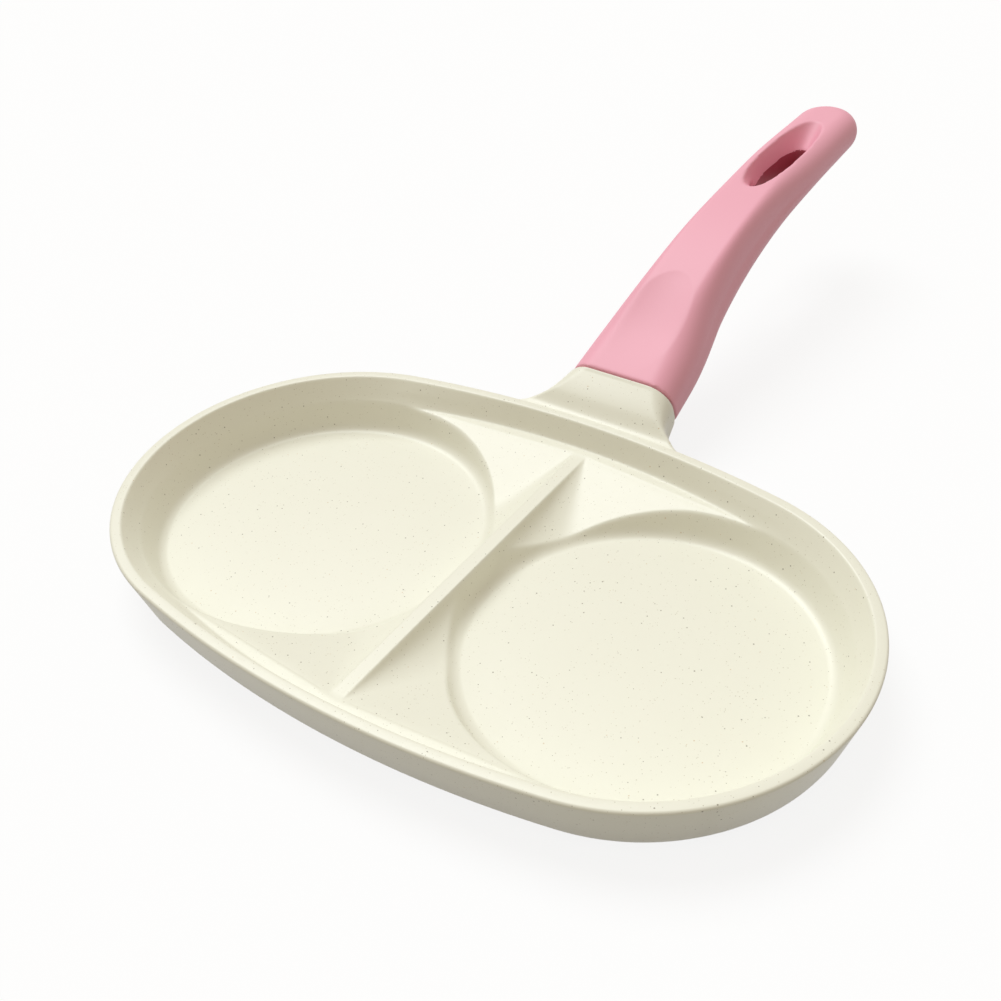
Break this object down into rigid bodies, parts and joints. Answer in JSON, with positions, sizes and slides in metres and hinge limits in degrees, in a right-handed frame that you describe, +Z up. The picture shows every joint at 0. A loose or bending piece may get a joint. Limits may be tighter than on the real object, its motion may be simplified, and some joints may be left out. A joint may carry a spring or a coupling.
{
  "type": "divided egg frying pan",
  "caption": "Oval cast frying pan with two round wells side by side, a straight rib between them, and a moulded handle with a hang hole bolted to the middle of the long side.",
  "frame": {"origin": "middle of the pan, on the flat base that it stands on", "axes": "+X to the right along the two wells, +Y from the middle of the pan towards the handle, +Z up"},
  "size_m": [0.2796, 0.3893, 0.0706],
  "materials": {
    "coated_aluminium": "satin cream ceramic coating with fine dark speckles",
    "base_steel": "brushed",
    "handle_moulding": "soft-touch matte",
    "fastener_steel": "zinc plated"
  },
  "bodies": {
    "root": {"pan_body": "coated_aluminium", "base_disc_left": "base_steel", "base_disc_right": "base_steel", "handle": "handle_moulding", "handle_bolt": "fastener_steel", "flat_washer": "fastener_steel", "spring_washer": "fastener_steel"}
  },
  "joints": []
}
